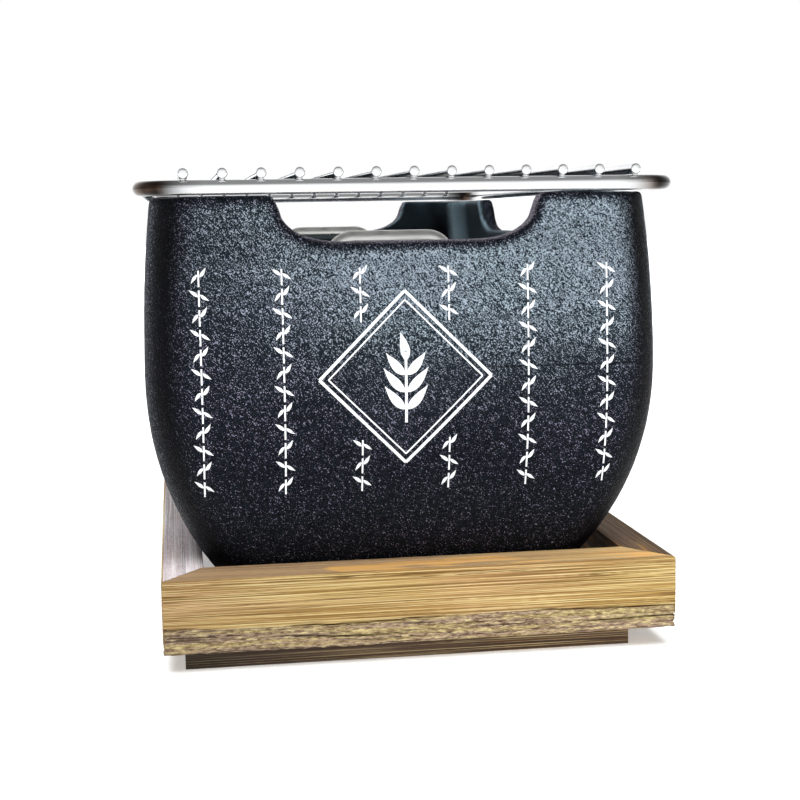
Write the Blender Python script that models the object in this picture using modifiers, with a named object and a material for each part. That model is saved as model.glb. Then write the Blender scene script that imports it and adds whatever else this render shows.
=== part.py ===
"""Table-top hibachi grill, as an assembly of separate solids.

A cast barrel-sided firebox stands in a mitred wooden base. Inside it, a charcoal
grate with two lifting handles lies on six cast lugs, above two vents with sliding
doors. A cooking grate of steel rods lies on the rim.

Metres, +Z up. The origin is under the middle of the whole grill, on the surface it
stands on.
X runs across the short end, Y along the grill.
"""

import math

import bmesh
import bpy
from mathutils import Matrix

# ---------------------------------------------------------------- driving dimensions
GAP = 0.0003                    # between pieces that touch

BASE_X = 0.0015                 # the cooking grate overhangs the base on the left only
BASE_WIDTH = 0.140              # wooden base, outside
BASE_DEPTH = 0.254
END_RAIL = 0.0155               # width of the front and back rails' top
SIDE_RAIL = 0.0115              # width of the left and right rails' top
RAIL_TOP = 0.0258
BATTEN_HEIGHT = 0.0052
BATTEN_LENGTH = 0.1226
BATTEN_WIDTH = 0.034
BATTEN_SETBACK = 0.006          # behind the outer face of the rail above
BATTEN_X = -0.003               # the battens are nailed on slightly off the base's middle
RAIL_BEVEL = 0.0006
BATTEN_BEVEL = 0.0005
NAIL_HEAD = 0.0016              # radius
NAIL_HEAD_EDGE = 0.0006         # thickness of the head at its edge
NAIL_SHANK = 0.0008
NAIL_LENGTH = 0.018
NAIL_POINT = 0.0015
NAIL_SPACING = 0.090
NAIL_SINK = 0.0013              # depth of the hollow that a nail head sits in

FIREBOX_X = -0.0007             # the firebox stands nearer the base's left rail
RIM_WIDTH = 0.135               # firebox, outside, at the rim
RIM_DEPTH = 0.2452
RIM_Z = 0.1258
CORNER_RADIUS = 0.016
BELLY_Z = 0.0774                # height of the widest section
BELLY = 0.0028                  # how far the wall stands out there, beyond the rim
LOWER_RADIUS = 0.0993           # of the arc that the wall follows below the belly
FLOOR_Z = 0.010                 # underside of the firebox floor
WALL = 0.0065
FOOT_X = 0.030                  # four round feet that stand on the battens
FOOT_Y = 0.0925
FOOT_RADIUS = 0.0055

NOTCH_Z = 0.1134                # bottom of the four rim notches
END_NOTCH = 0.0358              # half width of an end notch at the rim
SIDE_NOTCH = 0.0870             # half length of a side notch at the rim
NOTCH_CORNER = 0.0155           # half axes of the ellipse that rounds a notch's bottom corner
NOTCH_RISE = 0.008
NOTCH_FLARE = 0.002             # how far a notch widens from there to the rim

LUG_TOP = 0.0645                # ledge that carries the charcoal grate
LUG_SPACING = 0.075
LUG_INNER_X = 0.0565
LUG_OUTER_X = 0.0665            # inside the wall's thickness
LUG_LENGTH = 0.010
LUG_HEIGHT = 0.0065

VENT_FLOOR_X = 0.0610           # bottom face of the recess that holds a vent door
VENT_Z = 0.0475                 # middle height of the vent
BOSS_HALF = 0.043               # half length of the thickening behind the recess
BOSS_SECTION = (                # its (x, z) section, inside the wall on the outer side
    (0.0565, 0.0355), (0.0592, 0.0355), (0.0655, 0.0600), (0.0620, 0.0625), (0.0565, 0.0575)
)
RECESS_HALF_HEIGHT = 0.0095
WINDOW_END = -0.002
WINDOW_LENGTH = 0.030
WINDOW_HEIGHT = 0.008
DOOR_START = -0.001
DOOR_LENGTH = 0.036
DOOR_HEIGHT = 0.0126
DOOR_THICKNESS = 0.0012
GUIDE_LENGTH = 0.076
GUIDE_SHEET = 0.0011
GUIDE_LIP = 0.0049              # from the vent's middle height to the lip's free edge
GUIDE_FOOT = 0.0066             # to the foot's inner edge
GUIDE_EDGE = 0.0089             # to the outer edge
RIVET_SHANK = 0.0008
RIVET_HEAD = 0.0016             # radius
RIVET_DOME = 0.0009
RIVET_LENGTH = 0.0044
RIVET_Y = 0.032
RIVET_DZ = 0.0078
KNOB_RADIUS = 0.0032
KNOB_NECK = 0.0020
KNOB_HEIGHT = 0.0045

CHARCOAL_ROD = 0.0015           # rod radius
CHARCOAL_HALF_X = 0.0575        # to the frame rod's centreline
CHARCOAL_HALF_Y = 0.1120
CHARCOAL_CORNER = 0.009
CHARCOAL_BARS = 15
CHARCOAL_PITCH = 0.0144
HANDLE_ROD = 0.00275
HANDLE_HALF = 0.01625           # to the leg's centreline
HANDLE_TOP = 0.1158
HANDLE_BEND = 0.0055
HANDLE_BAR = 6                  # the handles stand on the sixth bar from the middle

COOKING_X = -0.0013             # the cooking grate lies a little to the left on the rim
GRATE_ROD = 0.0019              # frame rod radius
GRATE_HALF_X = 0.0689           # to the frame rod's centreline
GRATE_HALF_Y = 0.1349
GRATE_CORNER = 0.011
CROSS_ROD = 0.00135
CROSS_RODS = 13
CROSS_PITCH = 0.00968
CROSS_OVERHANG = 0.0014         # past the centreline of the frame's end bars

# ---------------------------------------------------------------- derived heights
RAIL_BOTTOM = BATTEN_HEIGHT + GAP
CHARCOAL_Z = LUG_TOP + GAP + CHARCOAL_ROD
CHARCOAL_BAR_Z = CHARCOAL_Z + 2 * CHARCOAL_ROD + GAP
GRATE_Z = RIM_Z + GAP + GRATE_ROD
CROSS_Z = GRATE_Z + GRATE_ROD + GAP + CROSS_ROD
DOOR_X = VENT_FLOOR_X + GAP
GUIDE_FOOT_TOP = DOOR_X + DOOR_THICKNESS + GAP
GUIDE_OUTER_X = GUIDE_FOOT_TOP + GUIDE_SHEET
CUT_REACH = 0.010               # how far a cutter runs past what it cuts


# ---------------------------------------------------------------- scene and materials
def clear_scene():
    for obj in list(bpy.data.objects):
        bpy.data.objects.remove(obj, do_unlink=True)


def new_collection(name, parent=None):
    collection = bpy.data.collections.new(name)
    (parent or bpy.context.scene.collection).children.link(collection)
    return collection


def new_material(name, colour, roughness, metallic):
    material = bpy.data.materials.new(name)
    material.use_nodes = True
    shader = material.node_tree.nodes["Principled BSDF"]
    shader.inputs["Base Color"].default_value = (*colour, 1.0)
    shader.inputs["Roughness"].default_value = roughness
    shader.inputs["Metallic"].default_value = metallic
    return material


def new_empty(name, location):
    empty = bpy.data.objects.new(name, None)
    empty.location = location
    PARTS.objects.link(empty)
    return empty


def add_object(name, mesh, material=None, parent=None, collection=None):
    obj = bpy.data.objects.new(name, mesh)
    (collection or PARTS).objects.link(obj)
    obj.parent = parent
    if material and not mesh.materials:
        mesh.materials.append(material)
    return obj


def as_tool(obj):
    """Marks a cutter, or a shape that is joined on, so that it isn't a part itself."""
    obj.hide_render = True
    obj.display_type = "WIRE"
    return obj


# ---------------------------------------------------------------- basic shapes
def bevel(obj, width, segments=2, angle=35):
    modifier = obj.modifiers.new("edges", "BEVEL")
    modifier.width = width
    modifier.segments = segments
    modifier.limit_method = "ANGLE"
    modifier.angle_limit = math.radians(angle)
    return obj


def block(name, low, high, material=None, parent=None, collection=None):
    """A box between two corners."""
    bm = bmesh.new()
    bmesh.ops.create_cube(bm, size=1.0)
    size = [b - a for a, b in zip(low, high)]
    centre = [(a + b) / 2 for a, b in zip(low, high)]
    bmesh.ops.scale(bm, vec=size, verts=bm.verts)
    mesh = bpy.data.meshes.new(name)
    bm.to_mesh(mesh)
    bm.free()
    obj = add_object(name, mesh, material, parent, collection)
    obj.location = centre
    return obj


def smooth(mesh, angle=40):
    mesh.shade_smooth()
    mesh.set_sharp_from_angle(angle=math.radians(angle))


def curve_to_mesh(curve_object):
    """Turns a curve object into a mesh with its caps welded on, and removes the curve."""
    bpy.context.view_layer.update()
    graph = bpy.context.evaluated_depsgraph_get()
    mesh = bpy.data.meshes.new_from_object(curve_object.evaluated_get(graph))
    bm = bmesh.new()
    bm.from_mesh(mesh)
    bmesh.ops.remove_doubles(bm, verts=bm.verts, dist=0.00001)
    bmesh.ops.recalc_face_normals(bm, faces=bm.faces)
    bm.to_mesh(mesh)
    bm.free()
    bpy.data.objects.remove(curve_object, do_unlink=True)
    return mesh


PRISM_TURN = {
    "X": (math.pi / 2, 0, math.pi / 2),
    "Y": (math.pi / 2, 0, 0),
    "Z": (0, 0, 0),
}


def prism(name, outline, axis, start, end, material=None, parent=None, collection=None):
    """A flat outline given extent along an axis. The outline lies in (y, z), (x, z) or (x, y)."""
    data = bpy.data.curves.new(name, "CURVE")
    data.dimensions = "2D"
    data.fill_mode = "BOTH"
    data.extrude = (end - start) / 2
    spline = data.splines.new("POLY")
    spline.points.add(len(outline) - 1)
    for point, (u, v) in zip(spline.points, outline):
        point.co = (u, v, 0, 1)
    spline.use_cyclic_u = True
    flat = bpy.data.objects.new(name + "_outline", data)
    (collection or PARTS).objects.link(flat)
    obj = add_object(name, curve_to_mesh(flat), material, parent, collection)
    obj.rotation_euler = PRISM_TURN[axis]
    obj.location["XYZ".index(axis)] = (start + end) / 2
    return obj


def wire(name, points, radius, closed, material, parent, sides=2):
    """A round rod that follows points."""
    data = bpy.data.curves.new(name, "CURVE")
    data.dimensions = "3D"
    data.bevel_depth = radius
    data.bevel_resolution = sides
    data.use_fill_caps = not closed
    spline = data.splines.new("POLY")
    spline.points.add(len(points) - 1)
    for point, place in zip(spline.points, points):
        point.co = (*place, 1)
    spline.use_cyclic_u = closed
    data.materials.append(material)
    obj = bpy.data.objects.new(name, data)
    PARTS.objects.link(obj)
    obj.parent = parent
    return obj


def straight_rod(name, centre, half_length, radius, axis, material, parent):
    """A straight rod along X or Y with softly rounded ends."""
    bm = bmesh.new()
    bmesh.ops.create_cone(
        bm, cap_ends=True, segments=12, radius1=radius, radius2=radius, depth=2 * half_length
    )
    mesh = bpy.data.meshes.new(name)
    bm.to_mesh(mesh)
    bm.free()
    smooth(mesh)
    obj = add_object(name, mesh, material, parent)
    obj.location = centre
    obj.rotation_euler = (math.pi / 2, 0, 0) if axis == "Y" else (0, math.pi / 2, 0)
    return bevel(obj, radius * 0.4, 1, 60)


def turned_mesh(name, profile, steps=12):
    """A profile of (radius, height), top to bottom on the outer side, turned about Z."""
    bm = bmesh.new()
    points = [bm.verts.new((radius, 0, height)) for radius, height in profile]
    for first, second in zip(points, points[1:]):
        bm.edges.new((first, second))
    mesh = bpy.data.meshes.new(name + "_profile")
    bm.to_mesh(mesh)
    bm.free()
    obj = bpy.data.objects.new(name + "_profile", mesh)
    TOOLS.objects.link(obj)
    screw = obj.modifiers.new("turn", "SCREW")
    screw.steps = steps
    screw.render_steps = steps
    screw.use_merge_vertices = True
    screw.merge_threshold = 0.00001
    bpy.context.view_layer.update()
    graph = bpy.context.evaluated_depsgraph_get()
    turned = bpy.data.meshes.new_from_object(obj.evaluated_get(graph))
    bpy.data.objects.remove(obj, do_unlink=True)
    smooth(turned)
    return turned


def facing(place, direction):
    """A matrix that moves a turned piece to place and points its +Z along direction."""
    turns = {
        "+Z": Matrix.Identity(4),
        "-X": Matrix.Rotation(-math.pi / 2, 4, "Y"),
        "+X": Matrix.Rotation(math.pi / 2, 4, "Y"),
    }
    return Matrix.Translation(place) @ turns[direction]


def drill(name, place, radius, length, direction, parent):
    """A round cutter that starts at place and runs along direction."""
    bm = bmesh.new()
    bmesh.ops.create_cone(
        bm, cap_ends=True, segments=8, radius1=radius, radius2=radius, depth=length
    )
    bmesh.ops.translate(bm, vec=(0, 0, length / 2), verts=bm.verts)
    bmesh.ops.transform(bm, matrix=facing(place, direction), verts=bm.verts)
    mesh = bpy.data.meshes.new(name)
    bm.to_mesh(mesh)
    bm.free()
    return as_tool(add_object(name, mesh, None, parent, TOOLS))


def combine(obj, tools, operation):
    """Cuts tools out of obj, or joins them on, each in its own Boolean modifier."""
    for tool in tools:
        modifier = obj.modifiers.new(tool.name, "BOOLEAN")
        modifier.operation = operation
        modifier.solver = "EXACT"
        modifier.object = tool


# ---------------------------------------------------------------- outlines
def rounded_rectangle(half_x, half_y, radius, steps):
    """Points round a rectangle with round corners, anticlockwise from the +X side."""
    points = []
    for quarter, (sx, sy) in enumerate(((1, 1), (-1, 1), (-1, -1), (1, -1))):
        for step in range(steps + 1):
            angle = math.pi / 2 * (quarter + step / steps)
            x = sx * (half_x - radius) + radius * math.cos(angle)
            y = sy * (half_y - radius) + radius * math.sin(angle)
            points.append((x, y))
    return points


def wall_offset(z):
    """How far the firebox wall stands outside the rim's outline at height z."""
    if z >= BELLY_Z:
        return BELLY * (1 - ((z - BELLY_Z) / (RIM_Z - BELLY_Z)) ** 2)
    below = BELLY_Z - z
    return BELLY - LOWER_RADIUS + math.sqrt(LOWER_RADIUS**2 - below**2)


def notch_outline(half_width):
    """A rim notch: flat bottom, elliptical corners, sides that flare a little."""
    steps = 6
    flat = half_width - NOTCH_FLARE - NOTCH_CORNER
    right = []
    for step in range(steps + 1):
        angle = math.pi / 2 * step / steps
        right.append((
            flat + NOTCH_CORNER * math.sin(angle), NOTCH_Z + NOTCH_RISE * (1 - math.cos(angle))
        ))
    right.append((half_width, RIM_Z))
    right.append((half_width, RIM_Z + CUT_REACH))
    return right + [(-u, v) for u, v in reversed(right)]


# ---------------------------------------------------------------- wooden base
def make_rails(base, wood):
    """Four rails with mitred corners, and the holes that their nails sit in."""
    x, y = BASE_WIDTH / 2, BASE_DEPTH / 2
    inner_x, inner_y = x - SIDE_RAIL, y - END_RAIL
    cut = GAP / 2
    rails = {}
    for name, side in (("base_rail_front", -1), ("base_rail_back", 1)):
        outline = [
            (-x + cut, side * y),
            (x - cut, side * y),
            (inner_x - cut, side * inner_y),
            (-inner_x + cut, side * inner_y),
        ]
        rails[name] = prism(name, outline, "Z", RAIL_BOTTOM, RAIL_TOP, wood, base)
    for name, side in (("base_rail_left", -1), ("base_rail_right", 1)):
        outline = [
            (side * x, -y + cut),
            (side * x, y - cut),
            (side * inner_x, inner_y - cut),
            (side * inner_x, -inner_y + cut),
        ]
        rails[name] = prism(name, outline, "Z", RAIL_BOTTOM, RAIL_TOP, wood, base)
    for rail in rails.values():
        bevel(rail, RAIL_BEVEL, 1)
    return rails


def nail_mesh():
    """A small flat-headed nail, its head at the bottom and its point up."""
    profile = [
        (0, NAIL_LENGTH),
        (NAIL_SHANK, NAIL_LENGTH - NAIL_POINT),
        (NAIL_SHANK, NAIL_HEAD_EDGE + 0.0002),
        (NAIL_HEAD, NAIL_HEAD_EDGE),
        (NAIL_HEAD, 0),
        (0, 0),
    ]
    return turned_mesh("nail", profile, 8)


def make_base(base, wood, dark_wood, steel):
    """The frame of four rails, and a batten nailed up into each end rail."""
    rails = make_rails(base, wood)
    nail = nail_mesh()
    nail_number = 0
    for end, side in (("front", -1), ("back", 1)):
        outer = side * (BASE_DEPTH / 2 - BATTEN_SETBACK)
        inner = outer - side * BATTEN_WIDTH
        low = (BATTEN_X - BATTEN_LENGTH / 2, min(outer, inner), 0)
        high = (BATTEN_X + BATTEN_LENGTH / 2, max(outer, inner), BATTEN_HEIGHT)
        batten = block("base_batten_" + end, low, high, dark_wood, base)
        nail_y = side * (BASE_DEPTH / 2 - (END_RAIL + BATTEN_SETBACK) / 2)
        heads, shanks = [], []
        for x in (BATTEN_X - NAIL_SPACING / 2, BATTEN_X + NAIL_SPACING / 2):
            nail_number += 1
            name = f"batten_nail_{nail_number}"
            below = (x, nail_y, -CUT_REACH)
            sink, hole = NAIL_SINK + CUT_REACH, NAIL_LENGTH + NAIL_SINK - GAP + CUT_REACH
            heads.append(drill(name + "_sink", below, NAIL_HEAD + GAP, sink, "+Z", base))
            shanks.append(drill(name + "_hole", below, NAIL_SHANK + GAP, hole, "+Z", base))
            add_object(name, nail, steel, base).location = (x, nail_y, GAP)
        combine(batten, heads + shanks, "DIFFERENCE")
        bevel(batten, BATTEN_BEVEL, 1)
        combine(rails["base_rail_" + end], shanks, "DIFFERENCE")


# ---------------------------------------------------------------- firebox
def firebox_shell():
    """The open outer skin: rounded rectangles that swell to the belly and draw in below it."""
    lower, upper = 9, 4
    start = math.asin((BELLY_Z - FLOOR_Z) / LOWER_RADIUS)
    heights = [
        BELLY_Z - LOWER_RADIUS * math.sin(start * (1 - step / lower)) for step in range(lower + 1)
    ]
    heights += [BELLY_Z + (RIM_Z - BELLY_Z) * (step + 1) / upper for step in range(upper)]
    bm = bmesh.new()
    rings = []
    for z in heights:
        offset = wall_offset(z)
        outline = rounded_rectangle(
            RIM_WIDTH / 2 + offset, RIM_DEPTH / 2 + offset, CORNER_RADIUS, 5
        )
        rings.append([bm.verts.new((x, y, z)) for x, y in outline])
    for below, above in zip(rings, rings[1:]):
        for index in range(len(below)):
            after = (index + 1) % len(below)
            bm.faces.new((below[index], below[after], above[after], above[index]))
    bm.faces.new(reversed(rings[0]))
    mesh = bpy.data.meshes.new("firebox")
    bm.to_mesh(mesh)
    bm.free()
    smooth(mesh)
    return mesh


def vent_holes(side, parent):
    """What is cut from one long wall: the door's recess, the window and four rivet holes."""
    name = "left" if side < 0 else "right"
    face = side * VENT_FLOOR_X
    outside = side * (RIM_WIDTH / 2 + CUT_REACH)
    inside = side * (VENT_FLOOR_X - CUT_REACH)
    half = GUIDE_LENGTH / 2 + 0.002
    recess = block(
        name + "_recess",
        (min(face, outside), -half, VENT_Z - RECESS_HALF_HEIGHT),
        (max(face, outside), half, VENT_Z + RECESS_HALF_HEIGHT),
        None, parent, TOOLS,
    )
    window = block(
        name + "_window",
        (min(inside, outside), WINDOW_END - WINDOW_LENGTH, VENT_Z - WINDOW_HEIGHT / 2),
        (max(inside, outside), WINDOW_END, VENT_Z + WINDOW_HEIGHT / 2),
        None, parent, TOOLS,
    )
    inward = "+X" if side < 0 else "-X"
    reach = 0.001
    bottom = GUIDE_OUTER_X + GAP - RIVET_LENGTH - 0.001
    drills = []
    for index, (y, z) in enumerate(rivet_places()):
        start = (face + side * reach, y, z)
        depth = VENT_FLOOR_X + reach - bottom
        drills.append(
            drill(f"{name}_rivet_hole_{index}", start, RIVET_SHANK + GAP, depth, inward, parent)
        )
    return [as_tool(recess), as_tool(window), *drills]


def vent_boss(side, parent):
    """Thickening inside the long wall, behind the recess for the vent door."""
    name = "left_boss" if side < 0 else "right_boss"
    outline = [(side * x, z) for x, z in BOSS_SECTION]
    return as_tool(prism(name, outline, "Y", -BOSS_HALF, BOSS_HALF, None, parent, TOOLS))


def lug(side, index, parent):
    """A ledge inside the long wall that carries the charcoal grate."""
    name = "left" if side < 0 else "right"
    low_x, high_x = sorted((side * LUG_INNER_X, side * LUG_OUTER_X))
    middle = index * LUG_SPACING
    return as_tool(block(
        f"{name}_lug_{index}",
        (low_x, middle - LUG_LENGTH / 2, LUG_TOP - LUG_HEIGHT),
        (high_x, middle + LUG_LENGTH / 2, LUG_TOP),
        None, parent, TOOLS,
    ))


def make_firebox(body, cast):
    firebox = add_object("firebox", firebox_shell(), cast, body)
    shell = firebox.modifiers.new("wall", "SOLIDIFY")
    shell.thickness = WALL
    shell.offset = -1
    shell.use_even_offset = True
    added, removed = [], []
    for side in (-1, 1):
        added += [lug(side, index, body) for index in (-1, 0, 1)]
        added.append(vent_boss(side, body))
        removed += vent_holes(side, body)
        for end in (-1, 1):
            place = (side * FOOT_X, end * FOOT_Y, RAIL_BOTTOM)
            height = FLOOR_Z + WALL / 2 - RAIL_BOTTOM
            added.append(drill(f"foot_{side}_{end}", place, FOOT_RADIUS, height, "+Z", body))
    reach = RIM_DEPTH / 2 + CUT_REACH
    for name, half_width, axis in (("end_notches", END_NOTCH, "Y"), ("side_notches", SIDE_NOTCH, "X")):
        cutter = prism(name, notch_outline(half_width), axis, -reach, reach, None, body, TOOLS)
        removed.append(as_tool(cutter))
    combine(firebox, added, "UNION")
    combine(firebox, removed, "DIFFERENCE")
    return firebox


# ---------------------------------------------------------------- vents
def rivet_places():
    """The (y, z) of the four rivets that hold one vent's two guides."""
    return [(y, VENT_Z + dz) for y in (-RIVET_Y, RIVET_Y) for dz in (-RIVET_DZ, RIVET_DZ)]


def guide_outline(side, up):
    """An L section: a foot on the recess floor, and a lip that holds the door in."""
    points = (
        (DOOR_X, GUIDE_FOOT),
        (GUIDE_FOOT_TOP, GUIDE_FOOT),
        (GUIDE_FOOT_TOP, GUIDE_LIP),
        (GUIDE_OUTER_X, GUIDE_LIP),
        (GUIDE_OUTER_X, GUIDE_EDGE),
        (DOOR_X, GUIDE_EDGE),
    )
    return [(side * x, VENT_Z + up * z) for x, z in points]


def make_guides(body, side, name, steel):
    """Two folded strips that hold a vent door, and their rivets."""
    half = GUIDE_LENGTH / 2
    outward = "+X" if side > 0 else "-X"
    for place, up in (("lower", -1), ("upper", 1)):
        guide = prism(
            f"{name}_vent_guide_{place}", guide_outline(side, up), "Y", -half, half, steel, body
        )
        holes = [
            drill(
                f"{guide.name}_hole_{index}",
                (side * (DOOR_X - 0.001), y, z), RIVET_SHANK + GAP, 0.006, outward, body,
            )
            for index, (y, z) in enumerate(rivet_places())
            if (z - VENT_Z) * up > 0
        ]
        combine(guide, holes, "DIFFERENCE")
    profile = [
        (0, RIVET_DOME),
        (RIVET_HEAD * 0.6, RIVET_DOME * 0.9),
        (RIVET_HEAD, RIVET_DOME / 3),
        (RIVET_HEAD, 0),
        (RIVET_SHANK, 0),
        (RIVET_SHANK, -RIVET_LENGTH),
        (0, -RIVET_LENGTH),
    ]
    rivet_mesh = turned_mesh("rivet", profile, 8)
    for index, (y, z) in enumerate(rivet_places()):
        rivet = add_object(f"{name}_vent_rivet_{index + 1}", rivet_mesh, steel, body)
        rivet.matrix_local = facing((side * (GUIDE_OUTER_X + GAP), y, z), outward)


def make_door(door_body, side, name, steel):
    """A sliding vent door with its knob. At rest it stands clear of the window."""
    low_x, high_x = sorted((side * DOOR_X, side * (DOOR_X + DOOR_THICKNESS)))
    door = block(
        f"{name}_vent_door",
        (low_x, DOOR_START, VENT_Z - DOOR_HEIGHT / 2),
        (high_x, DOOR_START + DOOR_LENGTH, VENT_Z + DOOR_HEIGHT / 2),
        steel, door_body,
    )
    bevel(door, 0.0002, 1)
    profile = [
        (0, KNOB_HEIGHT),
        (KNOB_RADIUS * 0.8, KNOB_HEIGHT),
        (KNOB_RADIUS, KNOB_HEIGHT * 0.85),
        (KNOB_RADIUS, KNOB_HEIGHT * 0.53),
        (KNOB_NECK, KNOB_HEIGHT * 0.36),
        (KNOB_NECK, 0),
        (0, 0),
    ]
    knob = add_object(f"{name}_vent_knob", turned_mesh("knob", profile, 16), steel, door_body)
    place = (side * (DOOR_X + DOOR_THICKNESS + GAP), DOOR_START + DOOR_LENGTH / 2, VENT_Z)
    knob.matrix_local = facing(place, "+X" if side > 0 else "-X")


# ---------------------------------------------------------------- charcoal grate
def bent_handle(y):
    """A lifting handle's route: up one leg, round, across and down the other leg."""
    steps = 5
    foot = CHARCOAL_BAR_Z + CHARCOAL_ROD + GAP
    top = HANDLE_TOP - HANDLE_ROD
    left = [(-HANDLE_HALF, y, foot)]
    for step in range(steps + 1):
        angle = math.pi / 2 * step / steps
        across, down = HANDLE_BEND * (1 - math.cos(angle)), HANDLE_BEND * (1 - math.sin(angle))
        left.append((-HANDLE_HALF + across, y, top - down))
    return left + [(-x, y, z) for x, y, z in reversed(left)]


def make_charcoal_grate(body, steel, bright):
    outline = rounded_rectangle(CHARCOAL_HALF_X, CHARCOAL_HALF_Y, CHARCOAL_CORNER, 4)
    wire(
        "charcoal_grate_frame", [(x, y, CHARCOAL_Z) for x, y in outline],
        CHARCOAL_ROD, True, steel, body,
    )
    middle = CHARCOAL_BARS // 2
    for index in range(CHARCOAL_BARS):
        y = (index - middle) * CHARCOAL_PITCH
        straight_rod(
            f"charcoal_grate_bar_{index + 1:02d}", (0, y, CHARCOAL_BAR_Z),
            CHARCOAL_HALF_X + 0.001, CHARCOAL_ROD, "X", steel, body,
        )
    for name, side in (("front", -1), ("back", 1)):
        wire(
            f"charcoal_grate_handle_{name}", bent_handle(side * HANDLE_BAR * CHARCOAL_PITCH),
            HANDLE_ROD, False, bright, body, 4,
        )


# ---------------------------------------------------------------- cooking grate
def make_cooking_grate(body, bright):
    outline = rounded_rectangle(GRATE_HALF_X, GRATE_HALF_Y, GRATE_CORNER, 6)
    wire(
        "cooking_grate_frame", [(x, y, GRATE_Z) for x, y in outline],
        GRATE_ROD, True, bright, body,
    )
    middle = CROSS_RODS // 2
    for index in range(CROSS_RODS):
        x = (index - middle) * CROSS_PITCH
        straight_rod(
            f"cooking_grate_rod_{index + 1:02d}", (x, 0, CROSS_Z),
            GRATE_HALF_Y + CROSS_OVERHANG, CROSS_ROD, "Y", bright, body,
        )


# ---------------------------------------------------------------- assembly
clear_scene()
PARTS = new_collection("hibachi_grill")
TOOLS = new_collection("hibachi_grill_tools")

WOOD = new_material("wood", (0.42, 0.27, 0.14), 0.75, 0.0)
DARK_WOOD = new_material("dark_wood", (0.09, 0.06, 0.04), 0.8, 0.0)
CAST = new_material("coated_casting", (0.03, 0.035, 0.04), 0.6, 0.3)
STEEL = new_material("plain_steel", (0.30, 0.30, 0.30), 0.45, 1.0)
BRIGHT = new_material("polished_steel", (0.72, 0.72, 0.72), 0.15, 1.0)

BASE_BODY = new_empty("base_body", (BASE_X, 0, 0))
FIREBOX_BODY = new_empty("firebox_body", (FIREBOX_X, 0, 0))
CHARCOAL_BODY = new_empty("charcoal_grate_body", (FIREBOX_X, 0, 0))
COOKING_BODY = new_empty("cooking_grate_body", (COOKING_X, 0, 0))

make_base(BASE_BODY, WOOD, DARK_WOOD, STEEL)
make_firebox(FIREBOX_BODY, CAST)
for vent_name, vent_side in (("left", -1), ("right", 1)):
    make_guides(FIREBOX_BODY, vent_side, vent_name, STEEL)
    door_empty = new_empty(f"{vent_name}_vent_door_body", (FIREBOX_X, 0, 0))
    make_door(door_empty, vent_side, vent_name, STEEL)
make_charcoal_grate(CHARCOAL_BODY, STEEL, BRIGHT)
make_cooking_grate(COOKING_BODY, BRIGHT)
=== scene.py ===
"""Looks of the table-top hibachi grill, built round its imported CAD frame.

Fine meshes stand for the casting, the timber and the rods. The vents and the nails keep
their CAD shape, with softened edges. Metres, +Z up, in the frame of the CAD model.
"""

import math
from functools import partial

import bmesh
import bpy
import numpy as np
from mathutils import Matrix, Vector
from mathutils.bvhtree import BVHTree
from mathutils.noise import noise


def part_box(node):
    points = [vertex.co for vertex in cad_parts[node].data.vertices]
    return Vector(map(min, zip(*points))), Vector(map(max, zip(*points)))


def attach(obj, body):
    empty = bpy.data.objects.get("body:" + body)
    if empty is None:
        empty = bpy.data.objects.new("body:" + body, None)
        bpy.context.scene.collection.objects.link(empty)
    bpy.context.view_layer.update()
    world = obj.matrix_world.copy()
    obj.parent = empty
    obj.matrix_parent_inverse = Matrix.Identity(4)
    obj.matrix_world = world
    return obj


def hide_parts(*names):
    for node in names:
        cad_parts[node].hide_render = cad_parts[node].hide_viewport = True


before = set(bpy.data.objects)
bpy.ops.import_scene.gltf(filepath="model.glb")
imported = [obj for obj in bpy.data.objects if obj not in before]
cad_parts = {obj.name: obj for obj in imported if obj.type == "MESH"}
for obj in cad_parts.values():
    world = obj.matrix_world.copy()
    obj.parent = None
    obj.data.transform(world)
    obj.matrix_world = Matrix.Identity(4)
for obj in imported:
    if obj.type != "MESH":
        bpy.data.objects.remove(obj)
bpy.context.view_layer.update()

MM = 0.001
QUARTER = math.pi / 2           # a quarter turn

# -------------------- sizes
# Read from the frame
CAST_LOW, CAST_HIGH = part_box("firebox")
BELLY = 2.8 * MM                # how far the wall stands out at its widest, beyond the rim
CAST_X = (CAST_LOW.x + CAST_HIGH.x) / 2
RIM_WIDTH = CAST_HIGH.x - CAST_LOW.x - 2 * BELLY
RIM_DEPTH = CAST_HIGH.y - CAST_LOW.y - 2 * BELLY
RIM_Z = CAST_HIGH.z
FOOT_Z = CAST_LOW.z

# The casting's other sizes, as the CAD has them. Their x is a distance from CAST_X.
CORNER_RADIUS = 16 * MM
BELLY_Z = 77.4 * MM
LOWER_RADIUS = 99.3 * MM        # curve of the wall below the belly
FLOOR_Z = 10 * MM
WALL = 6.5 * MM
NOTCH_Z = 113.4 * MM
NOTCH_CORNER = 15.5 * MM
NOTCH_RISE = 8 * MM
NOTCH_FLARE = 2 * MM
END_NOTCH = 35.8 * MM           # half the width of a short end's notch at the rim
SIDE_NOTCH = 87 * MM            # and of a long side's
LUG_X = (56.5 * MM, 66.5 * MM)
LUG_Z = (58 * MM, 64.5 * MM)
LUG_HALF_Y = 5 * MM
LUG_SPACING = 75 * MM
BOSS_MM = ((56.5, 35.5), (59.2, 35.5), (65.5, 60.0), (62.0, 62.5), (56.5, 57.5))    # x, z
BOSS_HALF_Y = 43 * MM
OUTSIDE_X = 77.5 * MM           # where the vents' cutters end, outside the wall
VENT_Z = 47.5 * MM
VENT_CUTS = (                   # name, x it starts from, its y, half its height
    ("recess", 61 * MM, (-40 * MM, 40 * MM), 9.5 * MM),
    ("window", 51 * MM, (-32 * MM, -2 * MM), 4 * MM),
)
FOOT_X, FOOT_Y = 30 * MM, 92.5 * MM
FOOT_RADII = (5.5 * MM, 6.2 * MM)
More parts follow.
